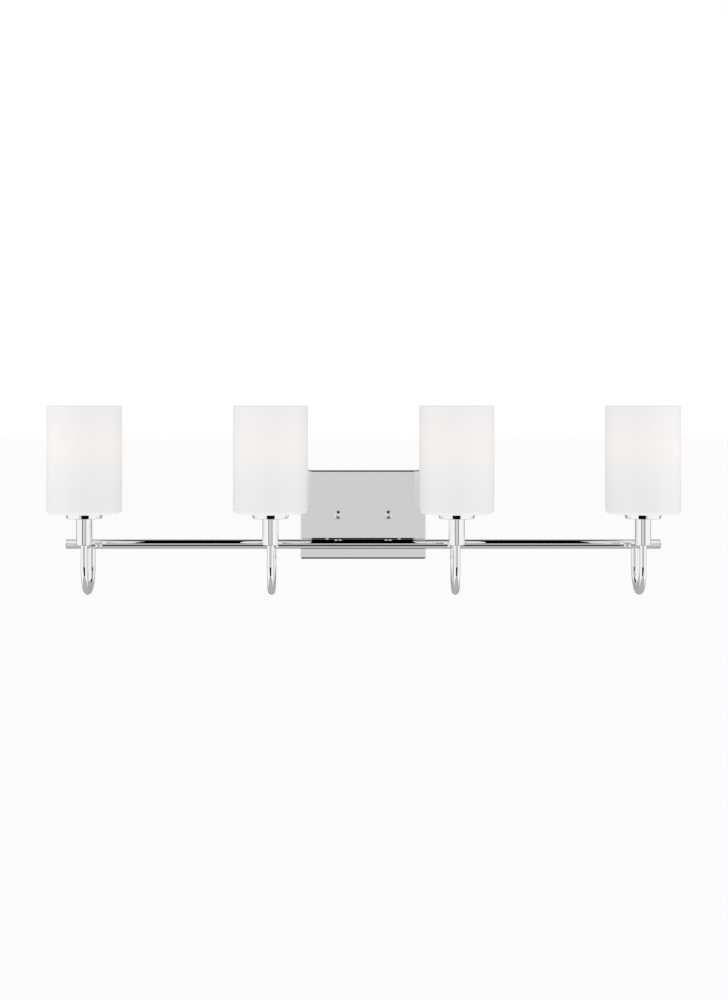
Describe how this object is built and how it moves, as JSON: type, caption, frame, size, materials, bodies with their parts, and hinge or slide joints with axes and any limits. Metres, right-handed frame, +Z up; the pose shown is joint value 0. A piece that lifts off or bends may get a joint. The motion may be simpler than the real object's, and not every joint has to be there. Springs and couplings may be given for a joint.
{
  "type": "vanity light bar",
  "caption": "Wall-mounted bath bar with upright white glass cylinder shades on hook-shaped arms under one round chrome tube.",
  "frame": {"origin": "on the wall plane, at the middle of the backplate and of the mounting strap", "axes": "+Z up, +X along the bar to the viewer's right, -Y out into the room, so +Y points into the wall"},
  "size_m": [0.8454, 0.161, 0.256],
  "materials": {
    "polished_chrome": "mirror polish",
    "etched_glass": "white, acid-etched satin",
    "zinc_steel": "bright zinc plate",
    "green_screw": "green plated",
    "porcelain": "glazed white",
    "brass": "bright",
    "ring_plastic": "satin white",
    "soft_gasket": "matt translucent",
    "fibre_washer": "matt",
    "bulb_glass": "inside-frosted",
    "bulb_cap": "bright rolled",
    "lead_sleeve": "satin",
    "connector_plastic": "satin"
  },
  "bodies": {
    "fixture": {"backplate": "polished_chrome", "mounting_strap": "zinc_steel", "strap_studs": "zinc_steel", "stud_nuts": "zinc_steel", "ground_screw": "green_screw", "post_left": "polished_chrome", "post_right": "polished_chrome", "post_washers": "zinc_steel", "post_nuts": "zinc_steel", "bar_tube": "polished_chrome", "end_plug_left": "polished_chrome", "end_plug_right": "polished_chrome", "socket_shells": "brass", "socket_contacts": "brass", "seat_gaskets": "soft_gasket", "stem_nipples": "zinc_steel", "arm_nuts": "zinc_steel", "stem_nuts": "zinc_steel", "wire_caps": "connector_plastic", "lead_wires": "lead_sleeve", "arm_1": "polished_chrome", "column_1": "polished_chrome", "shade_seat_1": "polished_chrome", "socket_body_1": "porcelain", "arm_2": "polished_chrome", "column_2": "polished_chrome", "shade_seat_2": "polished_chrome", "socket_body_2": "porcelain", "arm_3": "polished_chrome", "column_3": "polished_chrome", "shade_seat_3": "polished_chrome", "socket_body_3": "porcelain", "arm_4": "polished_chrome", "column_4": "polished_chrome", "shade_seat_4": "polished_chrome", "socket_body_4": "porcelain"},
    "knob_left_travel": {"knob_washer_left": "fibre_washer"},
    "knob_left": {"knob_left": "polished_chrome"},
    "knob_right_travel": {"knob_washer_right": "fibre_washer"},
    "knob_right": {"knob_right": "polished_chrome"},
    "shade_1": {"shade_1": "etched_glass"},
    "ring_1_travel": {"ring_washer_1": "fibre_washer"},
    "ring_1": {"shade_ring_1": "ring_plastic"},
    "bulb_1_travel": {"bulb_glass_1": "bulb_glass"},
    "bulb_1": {"bulb_base_1": "bulb_cap"},
    "shade_2": {"shade_2": "etched_glass"},
    "ring_2_travel": {"ring_washer_2": "fibre_washer"},
    "ring_2": {"shade_ring_2": "ring_plastic"},
    "bulb_2_travel": {"bulb_glass_2": "bulb_glass"},
    "bulb_2": {"bulb_base_2": "bulb_cap"},
    "shade_3": {"shade_3": "etched_glass"},
    "ring_3_travel": {"ring_washer_3": "fibre_washer"},
    "ring_3": {"shade_ring_3": "ring_plastic"},
    "bulb_3_travel": {"bulb_glass_3": "bulb_glass"},
    "bulb_3": {"bulb_base_3": "bulb_cap"},
    "shade_4": {"shade_4": "etched_glass"},
    "ring_4_travel": {"ring_washer_4": "fibre_washer"},
    "ring_4": {"shade_ring_4": "ring_plastic"},
    "bulb_4_travel": {"bulb_glass_4": "bulb_glass"},
    "bulb_4": {"bulb_base_4": "bulb_cap"}
  },
  "joints": [
    {"name": "knob_left_out", "type": "slide", "parent": "fixture", "child": "knob_left_travel", "axis": [0, -1, 0], "range_m": [0, 0.00635]},
    {"name": "knob_left_turn", "type": "hinge", "parent": "knob_left_travel", "child": "knob_left", "pos_m": [-0.03492, -0.0246, 0], "axis": [0, -1, 0], "range_deg": [0, 2880]},
    {"name": "knob_right_out", "type": "slide", "parent": "fixture", "child": "knob_right_travel", "axis": [0, -1, 0], "range_m": [0, 0.00635]},
    {"name": "knob_right_turn", "type": "hinge", "parent": "knob_right_travel", "child": "knob_right", "pos_m": [0.03492, -0.0246, 0], "axis": [0, -1, 0], "range_deg": [0, 2880]},
    {"name": "shade_1_lift", "type": "slide", "parent": "fixture", "child": "shade_1", "axis": [0, 0, 1], "range_m": [0, 0.045]},
    {"name": "ring_1_rise", "type": "slide", "parent": "shade_1", "child": "ring_1_travel", "axis": [0, 0, 1], "range_m": [0, 0.03302]},
    {"name": "ring_1_turn", "type": "hinge", "parent": "ring_1_travel", "child": "ring_1", "pos_m": [-0.37275, -0.111, 0.016], "axis": [0, 0, 1], "range_deg": [0, 4680]},
    {"name": "bulb_1_rise", "type": "slide", "parent": "shade_1", "child": "bulb_1_travel", "axis": [0, 0, 1], "range_m": [0, 0.02903]},
    {"name": "bulb_1_turn", "type": "hinge", "parent": "bulb_1_travel", "child": "bulb_1", "pos_m": [-0.37275, -0.111, 0.03], "axis": [0, 0, 1], "range_deg": [0, 2880]},
    {"name": "shade_2_lift", "type": "slide", "parent": "fixture", "child": "shade_2", "axis": [0, 0, 1], "range_m": [0, 0.045]},
    {"name": "ring_2_rise", "type": "slide", "parent": "shade_2", "child": "ring_2_travel", "axis": [0, 0, 1], "range_m": [0, 0.03302]},
    {"name": "ring_2_turn", "type": "hinge", "parent": "ring_2_travel", "child": "ring_2", "pos_m": [-0.12425, -0.111, 0.016], "axis": [0, 0, 1], "range_deg": [0, 4680]},
    {"name": "bulb_2_rise", "type": "slide", "parent": "shade_2", "child": "bulb_2_travel", "axis": [0, 0, 1], "range_m": [0, 0.02903]},
    {"name": "bulb_2_turn", "type": "hinge", "parent": "bulb_2_travel", "child": "bulb_2", "pos_m": [-0.12425, -0.111, 0.03], "axis": [0, 0, 1], "range_deg": [0, 2880]},
    {"name": "shade_3_lift", "type": "slide", "parent": "fixture", "child": "shade_3", "axis": [0, 0, 1], "range_m": [0, 0.045]},
    {"name": "ring_3_rise", "type": "slide", "parent": "shade_3", "child": "ring_3_travel", "axis": [0, 0, 1], "range_m": [0, 0.03302]},
    {"name": "ring_3_turn", "type": "hinge", "parent": "ring_3_travel", "child": "ring_3", "pos_m": [0.12425, -0.111, 0.016], "axis": [0, 0, 1], "range_deg": [0, 4680]},
    {"name": "bulb_3_rise", "type": "slide", "parent": "shade_3", "child": "bulb_3_travel", "axis": [0, 0, 1], "range_m": [0, 0.02903]},
    {"name": "bulb_3_turn", "type": "hinge", "parent": "bulb_3_travel", "child": "bulb_3", "pos_m": [0.12425, -0.111, 0.03], "axis": [0, 0, 1], "range_deg": [0, 2880]},
    {"name": "shade_4_lift", "type": "slide", "parent": "fixture", "child": "shade_4", "axis": [0, 0, 1], "range_m": [0, 0.045]},
    {"name": "ring_4_rise", "type": "slide", "parent": "shade_4", "child": "ring_4_travel", "axis": [0, 0, 1], "range_m": [0, 0.03302]},
    {"name": "ring_4_turn", "type": "hinge", "parent": "ring_4_travel", "child": "ring_4", "pos_m": [0.37275, -0.111, 0.016], "axis": [0, 0, 1], "range_deg": [0, 4680]},
    {"name": "bulb_4_rise", "type": "slide", "parent": "shade_4", "child": "bulb_4_travel", "axis": [0, 0, 1], "range_m": [0, 0.02903]},
    {"name": "bulb_4_turn", "type": "hinge", "parent": "bulb_4_travel", "child": "bulb_4", "pos_m": [0.37275, -0.111, 0.03], "axis": [0, 0, 1], "range_deg": [0, 2880]}
  ],
  "couplings": [
    {"joint": "knob_left_turn", "follows": "knob_left_out", "rad_per_m": 7915.8},
    {"joint": "knob_right_turn", "follows": "knob_right_out", "rad_per_m": 7915.8},
    {"joint": "ring_1_turn", "follows": "ring_1_rise", "rad_per_m": 2473.7},
    {"joint": "bulb_1_turn", "follows": "bulb_1_rise", "rad_per_m": 1731.6},
    {"joint": "ring_2_turn", "follows": "ring_2_rise", "rad_per_m": 2473.7},
    {"joint": "bulb_2_turn", "follows": "bulb_2_rise", "rad_per_m": 1731.6},
    {"joint": "ring_3_turn", "follows": "ring_3_rise", "rad_per_m": 2473.7},
    {"joint": "bulb_3_turn", "follows": "bulb_3_rise", "rad_per_m": 1731.6},
    {"joint": "ring_4_turn", "follows": "ring_4_rise", "rad_per_m": 2473.7},
    {"joint": "bulb_4_turn", "follows": "bulb_4_rise", "rad_per_m": 1731.6}
  ]
}
